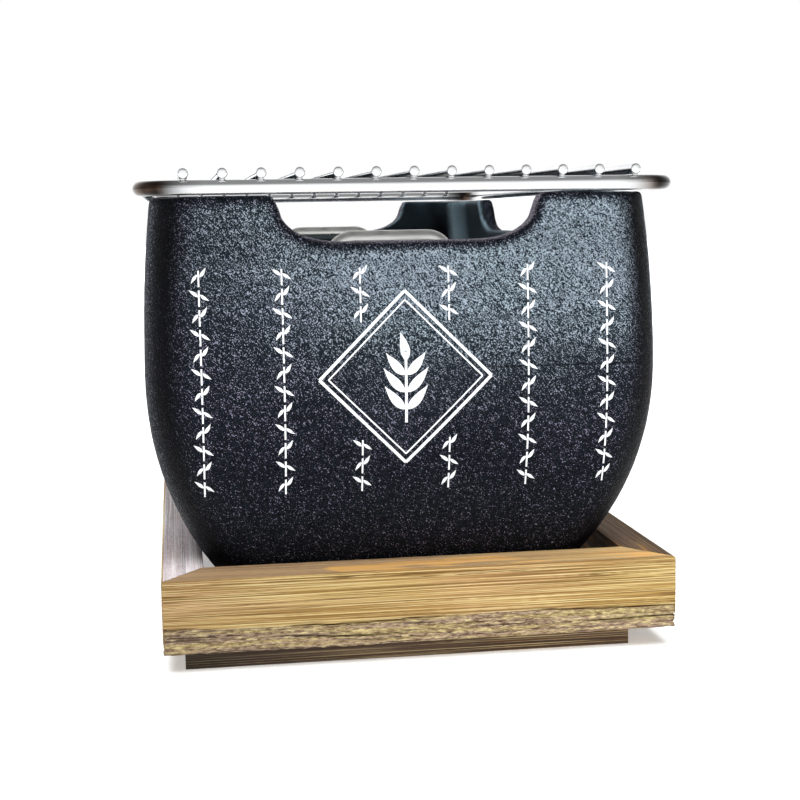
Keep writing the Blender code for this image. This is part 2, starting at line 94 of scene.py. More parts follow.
FOOT_TOP = FLOOR_Z + 2 * MM     # inside the floor
NOTCH_REACH = 0.2               # past the walls on both sides

# The casting's finish
VOXEL = 0.85 * MM               # mesh size
PARTING_Z = 79.5 * MM           # faint mould line
PAINTED_LIGHT_Z = (71 * MM, 126.5 * MM)  # between these the coat's grain goes from dark to grey: painted light, lighter higher up
PAINTED_LIGHT_WANDER = 36 * MM           # how unevenly it does
PEBBLE_TILT = math.radians(40)  # lean of the coat's grain

# The painted ornament
PAINT = 0.12 * MM               # how far the paint stands out from the coat
COLUMNS = tuple(x * MM for x in (-55.5, -34.1, -13.6, 9.9, 31.3, 53.0))
COLUMN_TOP = 104.5 * MM
COLUMN_PITCH = 5.08 * MM
COLUMN_UNITS = 12
EMBLEM_X = -1.9 * MM
EMBLEM_Z = 77.3 * MM
EMBLEM_HALF = 23 * MM
EMBLEM_CLEAR = 4 * MM           # kept free of columns round it

# The timber
RING_PITCH = 1.25 * MM          # between growth lines
PITH_V, PITH_H = 7 * MM, -62 * MM
RAIL_PLAY = 0.3 * MM            # over a rail's whole length, so that mitres don't touch
FRONT_TORN, OTHER_TORN = 6.9 * MM, 3.5 * MM     # height of the torn band

# The rods
SUNK = 0.5 * MM                 # how far the welds draw the cooking rods into the frame
NESTED = 0.45 * MM              # how far the frame settles over the rim's rounded outer edge
COOKING_CORNER = 11 * MM        # bend of each frame and of the handles
CHARCOAL_CORNER = 9 * MM
HANDLE_BEND = 5.5 * MM
FRAME_SPACING = 5 * MM          # between mesh points along a frame
DARK_REFLECTION_X = (16 * MM, 7 * MM)    # from the frame's edge: where the painted dark reflection starts, and where it's full
DARK_REFLECTION_Y = (30 * MM, 15 * MM)


# -------------------- node helpers
def feed(tree, node, inputs):
    """Sets a node's inputs. Each is a value, or the socket that feeds it."""
    for name, value in inputs.items():
        if isinstance(value, bpy.types.NodeSocket):
            tree.links.new(value, node.inputs[name])
        else:
            node.inputs[name].default_value = value


def add_node(tree, kind, inputs=None, **settings):
    node = tree.nodes.new("ShaderNode" + kind)
    for name, value in settings.items():
        setattr(node, name, value)
    feed(tree, node, inputs or {})
    return node


def new_material(name):
    """An empty Principled material: its tree, its shader and the object's own coordinates."""
    material = bpy.data.materials.new(name)
    material.use_nodes = True
    tree = material.node_tree
    shader = tree.nodes["Principled BSDF"]
    place = add_node(tree, "TexCoord").outputs["Object"]
    return material, tree, shader, place


def axes_of(tree, vector):
    return add_node(tree, "SeparateXYZ", {"Vector": vector}).outputs


def read_zones(tree):
    """The four shares, 0 to 1, that the points of a mesh carry."""
    zones = add_node(tree, "Attribute", attribute_name="zones")
    parts = add_node(tree, "SeparateColor", {"Color": zones.outputs["Color"]}).outputs
    return parts["Red"], parts["Green"], parts["Blue"], zones.outputs["Alpha"]


def stretched(tree, place, scale, turn=(0, 0, 0)):
    """The coordinates turned and scaled differently along each axis."""
    inputs = {"Vector": place, "Scale": scale, "Rotation": turn}
    return add_node(tree, "Mapping", inputs).outputs["Vector"]


def noise_value(tree, place, scale, detail=2.0, rough=0.5):
    inputs = {"Vector": place, "Scale": scale, "Detail": detail, "Roughness": rough}
    return add_node(tree, "TexNoise", inputs).outputs["Fac"]


def remap(tree, value, low, high, to_low=0.0, to_high=1.0):
    """Stretches the range low..high of a value, clamped at its ends."""
    node = add_node(
        tree, "MapRange",
        {"Value": value, "From Min": low, "From Max": high, "To Min": to_low, "To Max": to_high},
        clamp=True,
    )
    return node.outputs["Result"]


def maths(tree, operation, first, second=0.0, third=0.0):
    inputs = {0: first, 1: second, 2: third}
    return add_node(tree, "Math", inputs, operation=operation).outputs[0]


def distance_from(tree, value, centre):
    return maths(tree, "ABSOLUTE", maths(tree, "SUBTRACT", value, centre))


def mix_colour(tree, share, first, second, blend="MIX"):
    """Mixes two colours; each is a socket or (r, g, b)."""
    first, second = (
        c if isinstance(c, bpy.types.NodeSocket) else (*c, 1.0) for c in (first, second)
    )
    inputs = {0: share, 6: first, 7: second}
    node = add_node(tree, "Mix", inputs, data_type="RGBA", blend_type=blend)
    return node.outputs[2]


def layered(tree, colour, *coats):
    """The colour with each (share, colour) coat laid over it in turn."""
    for share, coat in coats:
        colour = mix_colour(tree, share, colour, coat)
    return colour


def scaled(colour, factor):
    return [min(1.0, factor * c) for c in colour]


def bump(tree, height, depth, strength=1.0, below=None):
    """A bump whose height, 0 to 1, stands for depth metres."""
    inputs = {"Height": height, "Strength": strength, "Distance": depth}
    if below is not None:
        inputs["Normal"] = below
    return add_node(tree, "Bump", inputs).outputs["Normal"]


def finish_shader(tree, shader, colour, rough, normal=None, metal=0.0, specular=0.5):
    feed(tree, shader, {
        "Base Color": colour, "Roughness": rough, "Metallic": metal, "Specular IOR Level": specular,
    })
    if normal:
        feed(tree, shader, {"Normal": normal})


# -------------------- materials
def coated_casting():
    """Cast metal under a thick pebbled coat.

    Its grain has grey tops high up and sparse dark flakes lower down, with black gaps
    between: painted light, lighter higher up and towards the right of each end. The mesh's
    zones mark its edges, its round corners, its inside and the faces of the notches, where
    shade and light are painted as well.
    """
    material, tree, shader, place = new_material("coated_casting")
    span = partial(remap, tree)
    times = partial(maths, tree, "MULTIPLY")
    edge, corner, inside, notch_face = read_zones(tree)
    across, back, height = axes_of(tree, place)
    turned = stretched(tree, place, (1.0, 1.0, 1.0), (0.0, PEBBLE_TILT, 0.0))
    fine = noise_value(tree, stretched(tree, turned, (1.0, 1.0, 0.80)), 3500.0, 1.0, 0.6)
    streak = noise_value(tree, stretched(tree, turned, (1.0, 1.0, 0.30)), 1900.0, 1.0, 0.5)
    waves = noise_value(tree, place, 34.0, 3.0)

    # Painted light and shade on the coat: lighter higher up and towards the right of each end,
    # painted shade round the corners and along the edges
    wear_and_lighting = span(maths(tree, "MULTIPLY_ADD", waves, PAINTED_LIGHT_WANDER, height), *PAINTED_LIGHT_Z)
    on_side = span(maths(tree, "ABSOLUTE", back), 98 * MM, 112 * MM, 0.9, 0.0)
    on_end = maths(tree, "MAXIMUM", span(across, -55 * MM, -5 * MM, 0.45, 1.0), on_side)
    for share in (on_end, span(corner, 0.0, 1.0, 1.0, 0.10), span(edge, 0.0, 1.0, 1.0, 0.0)):
        wear_and_lighting = times(wear_and_lighting, share)

    # The grain's tops are painted highlights standing out of its gaps, and the more painted light,
    # the more of them there are; the gaps are painted lighter there too
    grain = maths(tree, "MULTIPLY_ADD", fine, 0.74, times(streak, 0.26))
    reach = span(wear_and_lighting, 0.0, 1.0, 0.610, 0.466)
    width = span(wear_and_lighting, 0.0, 1.0, 0.05, 0.10)
    lit = span(maths(tree, "DIVIDE", maths(tree, "SUBTRACT", grain, reach), width), 0.0, 1.0)
    gap = layered(
        tree, (0.0015, 0.0015, 0.0030),
        (times(wear_and_lighting, wear_and_lighting), (0.045, 0.061, 0.075)),
        (span(grain, 0.43, 0.49, 1.0, 0.0), (0.010, 0.015, 0.021)),
    )
    top = mix_colour(tree, span(wear_and_lighting, 0.2, 0.7), (0.24, 0.235, 0.31), (0.40, 0.49, 0.55))
    violet = mix_colour(tree, span(waves, 0.42, 0.58), top, (0.28, 0.26, 0.38))
    top = mix_colour(tree, span(height, 70 * MM, 115 * MM, 0.6, 0.15), top, violet)

    off_parting = distance_from(tree, height, PARTING_Z)
    parting = times(
        span(off_parting, 0.12 * MM, 0.35 * MM, 1.0, 0.0), span(across, 12 * MM, 26 * MM, 0.1, 0.85)
    )
    # Painted shade inside the box: near black, with painted light on the inner corners and side
    # walls, lighter in patches
    inside_shade_and_light = layered(
        tree, (0.004, 0.004, 0.005),
        (corner, (0.22, 0.30, 0.35)),
        (span(waves, 0.45, 0.65, 0.0, 0.3), (0.05, 0.08, 0.10)),
    )
    # Painted light on the faces of the end notches, broken by the grain
    notch_face_light = mix_colour(tree, span(fine, 0.47, 0.60), (0.018, 0.016, 0.024), (0.34, 0.31, 0.37))
    colour = layered(
        tree, gap,
        (lit, top),
        # Painted shade round the outer corners, whose faces turn away from the light
        (times(corner, 0.9), (0.001, 0.001, 0.0015)),
        (parting, (0.004, 0.005, 0.007)),
        (inside, inside_shade_and_light),
        (notch_face, notch_face_light),
    )

    normal = bump(tree, streak, 0.5 * MM, 0.6)
    normal = bump(tree, fine, 0.35 * MM, 1.0, normal)
    finish_shader(tree, shader, colour, span(grain, 0.45, 0.6, 0.60, 0.38), normal, specular=0.04)
    return material


def white_paint():
    """Thin matt paint, broken a little where the pebbled coat stands through."""
    material, tree, shader, place = new_material("white_paint")
    pebble = noise_value(tree, place, 1500.0, 3.0, 0.6)
    through = remap(tree, pebble, 0.56, 0.72)
    colour = mix_colour(tree, through, (0.92, 0.93, 0.95), (0.26, 0.28, 0.31))
    finish_shader(tree, shader, colour, 0.6, bump(tree, pebble, 0.1 * MM, 0.6))
    return material


def wood(name, fresh, line, wear_and_lighting, worn_line, torn, seed, tones=(0.75, 1.0), warm=0.0):
    """Softwood. The mesh's zones mark its growth lines, and where it's torn, aged or cracked.

    tones are the brightness at the left and from the middle on: painted shade, darker
    towards the left end. warm is how much of a lighter fresh colour is laid over the aged
    surface towards the right.
    """
    material, tree, shader, place = new_material(name)
    span = partial(remap, tree)
    ring, rough, aged, crack = read_zones(tree)
    along = axes_of(tree, place)["X"]
    shift = (seed, 0.37 * seed, 0.0)
    moved = add_node(tree, "Mapping", {"Vector": place, "Location": shift})

    def grain(along, across, detail=1.0, roughness=0.5, up=None):
        """Noise drawn out along the timber, by its number of waves in a metre."""
        scale = (along, across, up or across)
        drawn_out = stretched(tree, moved.outputs["Vector"], scale)
        return noise_value(tree, drawn_out, 1.0, detail, roughness)

    fibre = grain(16.0, 3400.0)
    streak = grain(6.0, 2000.0, 2.0)
    broad = grain(16.0, 170.0, 3.0)
    patches = grain(22.0, 60.0, 3.0)
    speckle = grain(420.0, 1900.0, 3.0, 0.7)
    flames = grain(24.0, 150.0, 2.0)
    strata = grain(26.0, 400.0, 3.0, 0.65, up=800.0)
    broken = span(grain(75.0, 1500.0), 0.40, 0.52)
    off_line = distance_from(tree, grain(7.0, 1150.0), 0.5)
    thin = maths(tree, "MULTIPLY", span(off_line, 0.006, 0.030, 1.0, 0.0), broken)
    flame = maths(tree, "MULTIPLY", span(ring, 0.05, 0.5), span(flames, 0.49, 0.55, 0.0, 0.9))

    clean = layered(
        tree, fresh,
        (span(patches, 0.35, 0.65), [fresh[0] * 1.04, fresh[1] * 0.93, fresh[2] * 1.25]),
        (span(broad, 0.50, 0.62, 0.0, 0.5), scaled(line, 1.25)),
        (span(ring, 0.1, 0.9, 0.0, 0.7), line),
        (span(streak, 0.52, 0.60, 0.0, 0.85), line),
        (span(fibre, 0.53, 0.61, 0.0, 0.75), scaled(line, 0.6)),
        (span(fibre, 0.47, 0.36, 0.0, 0.8), (0.74, 0.60, 0.29)),
        (thin, scaled(line, 0.45)),
    )
    old = layered(
        tree, wear_and_lighting,
        (span(broad, 0.40, 0.62), scaled(wear_and_lighting, 0.60)),
        (span(along, 0.0, 60 * MM, 0.0, warm), scaled(fresh, 1.5)),
        (flame, worn_line),
        (span(streak, 0.52, 0.62, 0.0, 0.7), scaled(wear_and_lighting, 0.35)),
        (span(fibre, 0.47, 0.38, 0.0, 0.5), scaled(wear_and_lighting, 1.9)),
        (span(speckle, 0.45, 0.70, 0.0, 0.35), scaled(wear_and_lighting, 1.7)),
    )
    pulp = layered(
        tree, torn,
        (span(strata, 0.42, 0.56), (0.34, 0.235, 0.17)),
        (span(speckle, 0.53, 0.64, 0.0, 0.75), (0.72, 0.60, 0.28)),
        (span(speckle, 0.47, 0.40, 0.0, 0.75), (0.10, 0.058, 0.02)),
        (thin, (0.06, 0.035, 0.02)),
        (span(strata, 0.58, 0.64, 0.0, 0.9), (0.05, 0.028, 0.012)),
    )
    colour = layered(
        tree, clean, (aged, old), (span(rough, 0.2, 0.8), pulp), (crack, (0.018, 0.011, 0.006))
    )
    # Painted shade: darker towards the left end, by the given tones
    tone = span(along, -65 * MM, 15 * MM, *tones)
    shade = add_node(tree, "CombineColor", {"Red": tone, "Green": tone, "Blue": tone})
    colour = mix_colour(tree, 1.0, colour, shade.outputs["Color"], "MULTIPLY")

    normal = bump(tree, streak, 0.25 * MM, 0.8)
    normal = bump(tree, fibre, 0.10 * MM, 0.8, normal)
    normal = bump(tree, speckle, 0.25 * MM, span(rough, 0.0, 1.0, 0.05, 1.0), normal)
    finish_shader(tree, shader, colour, span(fibre, 0.3, 0.7, 0.62, 0.82), normal, specular=0.3)
    return material


def polished_steel(name, rough, colour):
    """Bright rod with faint marks. Its first zone says where dark reflections are painted on it."""
    material, tree, shader, place = new_material(name)
    marks = noise_value(tree, place, 700.0, 3.0, 0.6)
    haze = noise_value(tree, place, 90.0, 2.0)
    dark_reflection_share = read_zones(tree)[0]
    blotches = remap(tree, haze, 0.4, 0.6)
    dark_reflection = mix_colour(tree, blotches, (0.016, 0.012, 0.011), (0.09, 0.055, 0.036))
    # Painted dark reflections on the frame's corners, near black and brown in blotches
    colour = layered(tree, colour, (haze, scaled(colour, 0.92)), (dark_reflection_share, dark_reflection))
    rough = remap(tree, haze, 0.3, 0.7, rough, rough + 0.10)
    finish_shader(tree, shader, colour, rough, bump(tree, marks, 0.02 * MM, 0.25), metal=1.0)
    return material


def plain_steel(name, colour, rough):
    """Dull steel with a little mill scale and handling wear."""
    material, tree, shader, place = new_material(name)
    scale = noise_value(tree, place, 260.0, 4.0, 0.6)
    fine = noise_value(tree, place, 2200.0, 2.0)
    colour = mix_colour(tree, remap(tree, scale, 0.35, 0.7), colour, scaled(colour, 0.55))
    rough = remap(tree, scale, 0.3, 0.7, rough - 0.08, rough + 0.12)
    finish_shader(tree, shader, colour, rough, bump(tree, fine, 0.03 * MM, 0.4), metal=1.0)
    return material


def floor_material():
    """A matt pale floor that glows a little, which keeps its shadows soft."""
    material, tree, shader, place = new_material("pale_floor")
    soft = noise_value(tree, place, 3.0, 2.0)
    colour = mix_colour(tree, soft, (0.95, 0.95, 0.95), (0.94, 0.94, 0.945))
    finish_shader(tree, shader, colour, 0.9, specular=0.1)
    feed(tree, shader, {"Emission Color": (1.0, 1.0, 1.0, 1.0), "Emission Strength": 0.35})
    return material


# -------------------- mesh helpers
def add_object(name, data, material=None):
    obj = bpy.data.objects.new(name, data)
    bpy.context.scene.collection.objects.link(obj)
    if material:
        data.materials.append(material)
    return obj


def add_piece(obj, body, slot, *nodes):
    """Puts a finished piece on its body, in place of the CAD nodes that it stands for."""
    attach(obj, body)
    if nodes:
        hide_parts(*nodes)
    return obj


def finished(bm, name, outward=False):
    """The mesh of a bmesh, which is freed, with its faces turned outward if they need it."""
    if outward:
        bmesh.ops.recalc_face_normals(bm, faces=bm.faces)
    mesh = bpy.data.meshes.new(name)
    bm.to_mesh(mesh)
    bm.free()
    return mesh


def bridge(bm, first, second):
    """Faces between two rings with the same number of vertices."""
    for k in range(len(first)):
        n = (k + 1) % len(first)
        bm.faces.new((first[k], first[n], second[n], second[k]))


def smooth_mesh(mesh, angle):
    mesh.shade_smooth()
    mesh.set_sharp_from_angle(angle=math.radians(angle))


def write_zones(mesh, zones):
    """Gives the points of a mesh four shares, which its material reads."""
    layer = mesh.color_attributes.new("zones", "FLOAT_COLOR", "POINT")
    layer.data.foreach_set("color", np.asarray(zones, np.float32).ravel())


def ramp(values, start, full):
    """How far an array of values has gone from start to full, 0 to 1."""
    return np.clip((values - start) / (full - start), 0, 1)


def clamp(value):
    return min(1.0, max(0.0, value))


def bake(obj):
    """Applies an object's modifiers."""
    graph = bpy.context.evaluated_depsgraph_get()
    mesh = bpy.data.meshes.new_from_object(obj.evaluated_get(graph))
    obj.modifiers.clear()
    old = obj.data
    obj.data = mesh
    bpy.data.meshes.remove(old)


def box_object(name, low, high):
    bm = bmesh.new()
    bmesh.ops.create_cube(bm, size=1.0)
    low, high = Vector(map(min, low, high)), Vector(map(max, low, high))
    bmesh.ops.scale(bm, vec=high - low, verts=bm.verts)
    bmesh.ops.translate(bm, vec=(low + high) / 2, verts=bm.verts)
    return add_object(name, finished(bm, name))


def prism_object(name, outline, half, place):
    """An outline swept from -half to half; place(u, v, along) gives each point."""
    bm = bmesh.new()
    near, far = ([bm.verts.new(place(u, v, end)) for u, v in outline] for end in (-half, half))
    bm.faces.new(near)
    bm.faces.new(reversed(far))
    bridge(bm, far, near)
    return add_object(name, finished(bm, name, outward=True))


def sweep(name, points, radius, flat, material, closed=False, sides=20, fillet=0.45):
    """A round rod along points in a plane whose normal is flat, its ends softly rounded.

    fillet is the radius of that rounding, as a share of the rod's own.
    """
    points = [Vector(p) for p in points]
    flat = Vector(flat)
    rings = []
    for i, point in enumerate(points):
        before = points[i - 1] if closed or i else point
        after = points[(i + 1) % len(points)] if closed or i < len(points) - 1 else point
        rings.append((point, (after - before).normalized(), radius))
    if not closed:
        soft = radius * fillet
        start, end = [], []
        for step in range(4):
            angle = QUARTER * step / 4
            inset = soft - soft * math.sin(angle)
            size = radius - soft * (1 - math.cos(angle))
            for rim, (point, tangent, _), sign in ((start, rings[0], 1), (end, rings[-1], -1)):
                rim.append((point + tangent * sign * inset, tangent, size))
        rings = list(reversed(start)) + rings[1:-1] + end
    bm = bmesh.new()
    loops = []
    for point, tangent, size in rings:
        side = tangent.cross(flat).normalized()
        loops.append([
            bm.verts.new(point + size * (math.cos(a) * flat + math.sin(a) * side))
            for a in (2 * math.pi * k / sides for k in range(sides))
        ])
    for first, second in zip(loops, loops[1:]):
        bridge(bm, first, second)
    if closed:
        bridge(bm, loops[-1], loops[0])
    else:
        bm.faces.new(loops[0])
        bm.faces.new(reversed(loops[-1]))
    mesh = finished(bm, name, outward=True)
    smooth_mesh(mesh, 45)
    return add_object(name, mesh, material)


def rounded_rectangle(half_x, half_y, radius, steps):
    """Points round a rectangle with round corners, anticlockwise from the +X side."""
    points = []
    for quarter, (sx, sy) in enumerate(((1, 1), (-1, 1), (-1, -1), (1, -1))):
        for step in range(steps + 1):
            angle = QUARTER * (quarter + step / steps)
            x = sx * (half_x - radius) + radius * math.cos(angle)
            y = sy * (half_y - radius) + radius * math.sin(angle)
            points.append((x, y))
    return points


# -------------------- casting
def wall_offset(z):
    """How far the firebox wall stands outside the rim's outline at height z."""
    if z >= BELLY_Z:
        return BELLY * (1 - ((z - BELLY_Z) / (RIM_Z - BELLY_Z)) ** 2)
    below = BELLY_Z - z
    return BELLY - LOWER_RADIUS + math.sqrt(LOWER_RADIUS**2 - below**2)


def casting_skin():
    """The outer skin, open at the rim, a ring every few millimetres of height."""
    lower, upper = 26, 12       # rings below and above the belly
    start = math.asin((BELLY_Z - FLOOR_Z) / LOWER_RADIUS)
    heights = [
        BELLY_Z - LOWER_RADIUS * math.sin(start * (1 - step / lower)) for step in range(lower + 1)
    ]
    heights += [BELLY_Z + (RIM_Z - BELLY_Z) * (step + 1) / upper for step in range(upper)]
    bm = bmesh.new()
    rings = []
    for z in heights:
        offset = wall_offset(z)
        half_x, half_y = RIM_WIDTH / 2 + offset, RIM_DEPTH / 2 + offset
        outline = rounded_rectangle(half_x, half_y, CORNER_RADIUS, 12)
        rings.append([bm.verts.new((CAST_X + x, y, z)) for x, y in outline])
    for below, above in zip(rings, rings[1:]):
        bridge(bm, below, above)
    bm.faces.new(reversed(rings[0]))
    return finished(bm, "casting")


def notch_outline(half_width):
    """A rim notch: flat bottom, elliptical corners, sides that flare a little."""
    flat = half_width - NOTCH_FLARE - NOTCH_CORNER
    right = []
    for step in range(13):
        angle = QUARTER * step / 12
        u = flat + NOTCH_CORNER * math.sin(angle)
        right.append((u, NOTCH_Z + NOTCH_RISE * (1 - math.cos(angle))))
    right.append((half_width, RIM_Z))
    right.append((half_width, RIM_Z + 10 * MM))
    return right + [(-u, v) for u, v in reversed(right)]


def foot_object(name, x, y):
    bm = bmesh.new()
    bmesh.ops.create_cone(
        bm, cap_ends=True, segments=32, radius1=FOOT_RADII[0], radius2=FOOT_RADII[1],
        depth=FOOT_TOP - FOOT_Z,
    )
    bmesh.ops.translate(bm, vec=(x, y, (FOOT_TOP + FOOT_Z) / 2), verts=bm.verts)
    return add_object(name, finished(bm, "foot"))


def casting_tools():
    """What is joined to the shell, and what is cut from it."""
    added, removed = [], []
    for side, name in ((-1, "left"), (1, "right")):
        def place(x, y, z, side=side):
            return CAST_X + side * x, y, z

        for index in (-1, 0, 1):
            y = index * LUG_SPACING
            added.append(box_object(
                f"{name}_lug_{index}",
                place(LUG_X[0], y - LUG_HALF_Y, LUG_Z[0]),
                place(LUG_X[1], y + LUG_HALF_Y, LUG_Z[1]),
            ))
        added.append(prism_object(
            f"{name}_boss", BOSS_MM, BOSS_HALF_Y,
            lambda u, v, along, place=place: place(u * MM, along, v * MM),
        ))
        for opening, inside_x, span_y, half_z in VENT_CUTS:
            removed.append(box_object(
                f"{name}_{opening}", place(inside_x, span_y[0], VENT_Z - half_z),
                place(OUTSIDE_X, span_y[1], VENT_Z + half_z),
            ))
        for end in (-1, 1):
            added.append(foot_object(f"{name}_foot_{end}", CAST_X + side * FOOT_X, end * FOOT_Y))
    for name, half_width, place in (
        ("end_notches", END_NOTCH, lambda u, v, along: (CAST_X + u, along, v)),
        ("side_notches", SIDE_NOTCH, lambda u, v, along: (CAST_X + along, u, v)),
    ):
        removed.append(prism_object(name, notch_outline(half_width), NOTCH_REACH, place))
    return added, removed


def distance_to_notch(u, v, half_width):
    """Distance of points (u, v) from the bottom and sides of a notch, in metres."""
    outline = notch_outline(half_width)
    half = len(outline) // 2
    outline = outline[half:] + outline[:half]       # leaves the open top between its ends
    nearest = np.full(len(u), 1.0)
    for (u1, v1), (u2, v2) in zip(outline, outline[1:]):
        du, dv = u2 - u1, v2 - v1
        t = np.clip(((u - u1) * du + (v - v1) * dv) / (du * du + dv * dv + 1e-12), 0, 1)
        nearest = np.minimum(nearest, np.hypot(u - u1 - t * du, v - v1 - t * dv))
    return nearest


def casting_zones(places, normals):
    """The shares of each point: near an edge, round a corner, inside, on an end notch's face.

    Inside the box the second share is how far the surface bends away from the ends, which
    the painted light inside follows.
    """
    x, y, z = places[:, 0] - CAST_X, places[:, 1], places[:, 2]
    flat = normals[:, 0]**2 + normals[:, 1]**2
    square_on = np.abs(normals[:, 1]) / np.sqrt(flat + 1e-9)
    swell = np.array([wall_offset(h) for h in z])
    off_side = RIM_WIDTH / 2 + swell - np.abs(x)
    off_end = RIM_DEPTH / 2 + swell - np.abs(y)

    on_end = np.abs(y) > RIM_DEPTH / 2 - CORNER_RADIUS
    on_side = np.abs(x) > RIM_WIDTH / 2 - CORNER_RADIUS
    notch = np.full(len(x), 1.0)
    notch[on_end] = distance_to_notch(x[on_end], z[on_end], END_NOTCH)
    notch[on_side] = np.minimum(
        notch[on_side], distance_to_notch(y[on_side], z[on_side], SIDE_NOTCH)
    )
    # Near the notches and the rim, where the coat is painted shaded.
    edge = ramp(np.minimum(notch, np.abs(RIM_Z - z)), 3.2 * MM, 0.8 * MM)

    faces_in = -(normals[:, 0] * x / RIM_WIDTH + normals[:, 1] * y / RIM_DEPTH)
    skin = 0.55 * WALL
    inside = ramp(np.minimum(off_side, off_end), skin, skin + 1 * MM) * (faces_in > -0.15)

    # Round the outer corners the coat is painted shaded, most where they turn partway to the sides
    # and little on the long sides; inside, the inner corners and side walls are painted lighter.
    corner = ramp(square_on, 0.97, 0.77) * (1 - 0.85 * ramp(square_on, 0.62, 0.37))
    bend = ramp(square_on, 0.985, 0.885) * np.clip((square_on + 0.1) / 0.6, 0.3, 1)
    upright = ramp(flat, 0, 0.25)
    corner = np.where(inside > 0.5, bend * upright + 0.35 * (1 - upright), corner * upright)

    outward = np.where(off_end < off_side, np.abs(normals[:, 1]), np.abs(normals[:, 0]))
    # The faces of the end notches, which are painted lit.
    notch_face = ramp(outward, 0.75, 0.50) * (notch < 1.2 * MM) * on_end
    notch_face *= ramp(z, RIM_Z, RIM_Z - 1 * MM)
    return np.stack([edge, corner, inside, notch_face], axis=1)


def make_casting(material):
    """The firebox as it comes from the sand: every edge rounded, the skin slightly uneven."""
    casting = add_object("firebox_casting", casting_skin())
    wall = casting.modifiers.new("wall", "SOLIDIFY")
    wall.thickness = WALL
    wall.offset = -1
    wall.use_even_offset = True
    added, removed = casting_tools()
    for operation, tools in (("UNION", added), ("DIFFERENCE", removed)):
        for tool in tools:
            cut = casting.modifiers.new(tool.name, "BOOLEAN")
            cut.operation = operation
            cut.solver = "EXACT"
            cut.object = tool
    bake(casting)
    for tool in added + removed:
        bpy.data.objects.remove(tool)
    remesh = casting.modifiers.new("cast", "REMESH")
    remesh.mode = "VOXEL"
    remesh.voxel_size = VOXEL
    remesh.adaptivity = 0.0
    relax = casting.modifiers.new("relax", "SMOOTH")
    relax.factor = 0.5
    relax.iterations = 9
    bake(casting)
    mesh = casting.data
    places = np.array([v.co for v in mesh.vertices])
    normals = np.array([v.normal for v in mesh.vertices])
    uneven = np.array([
        noise(Vector(p) * 55.0) * 0.10 + noise(Vector(p) * 420.0) * 0.05
        for p in places
    ])
    places += normals * uneven[:, None] * MM
    mesh.vertices.foreach_set("co", places.astype(np.float32).ravel())
    write_zones(mesh, casting_zones(places, normals))
    mesh.shade_smooth()
    mesh.materials.append(material)
    return add_piece(casting, "firebox", "coated_casting", "firebox")


# -------------------- ornament
def leaf(start, angle, length, width, steps=9, bow=1):
    """A slim leaf as a strip of (left, right) points, from its stalk to its tip."""
    direction = Vector((math.cos(angle), math.sin(angle)))
    across = Vector((-direction.y, direction.x))
    strip = []
    for step in range(steps + 1):
        t = step / steps
        half = width / 2 * max(0.06, math.sin(math.pi * t**0.75))
        middle = Vector(start) + direction * length * t + across * bow * width * 0.5 * t * t
        strip.append((middle + across * half, middle - across * half))
    return strip


def stroke(start, end, width, steps):
    """A straight line of even width as a strip."""
    start, end = Vector(start), Vector(end)
    direction = (end - start).normalized()
    across = Vector((-direction.y, direction.x)) * width / 2
    middles = [start.lerp(end, k / steps) for k in range(steps + 1)]
    return [(middle + across, middle - across) for middle in middles]


def sprig(x, z, side):
    """One unit of a column: a joint of stalk with two leaves, the longer one on the given side."""
    longer, shorter = (QUARTER - side * a for a in (0.75, 2.35))
    return [
        stroke((x, z - 2.1 * MM), (x, z + 2.1 * MM), 0.45 * MM, 3),
        leaf((x + side * 0.3 * MM, z + 0.4 * MM), longer, 2.9 * MM, 0.95 * MM),
        leaf((x - side * 0.3 * MM, z + 1.0 * MM), math.pi - shorter, 2.7 * MM, 0.85 * MM),
    ]


def lozenge(half, width):
    """The four sides of an upright diamond."""
    corners = [
        (EMBLEM_X + x * half, EMBLEM_Z + z * half) for x, z in ((0, 1), (1, 0), (0, -1), (-1, 0))
    ]
    return [
        stroke(start, end, width, 16) for start, end in zip(corners, corners[1:] + corners[:1])
    ]


def emblem():
    """A double diamond round a leafy sprig."""
    foot = EMBLEM_Z - 12 * MM
    strips = lozenge(EMBLEM_HALF, 0.8 * MM) + lozenge(EMBLEM_HALF - 2.4 * MM, 0.4 * MM)
    strips.append(stroke((EMBLEM_X, foot), (EMBLEM_X, foot + 17 * MM), 0.7 * MM, 12))
    strips.append(leaf((EMBLEM_X, foot + 16.5 * MM), QUARTER, 7.5 * MM, 2.6 * MM, 12))
    for pair, length in enumerate((8.2, 8.6, 7.6)):
        for side in (-1, 1):
            start = (EMBLEM_X + side * 0.2 * MM, foot + (3.6 + 4.6 * pair) * MM)
            angle = QUARTER - side * math.radians(50)
            strips.append(leaf(start, angle, length * MM, 2.5 * MM, 12, side))
    return strips


def ornament_strips():
    """The whole pattern of one end, seen from outside: columns of sprigs and the emblem."""
    strips = []
    for column, x in enumerate(COLUMNS):
        for unit in range(COLUMN_UNITS):
            z = COLUMN_TOP - unit * COLUMN_PITCH
            if abs(x - EMBLEM_X) + abs(z - EMBLEM_Z) >= EMBLEM_HALF + EMBLEM_CLEAR:
                strips += sprig(x, z, -1 if (unit + column) % 2 else 1)
    return strips + emblem()


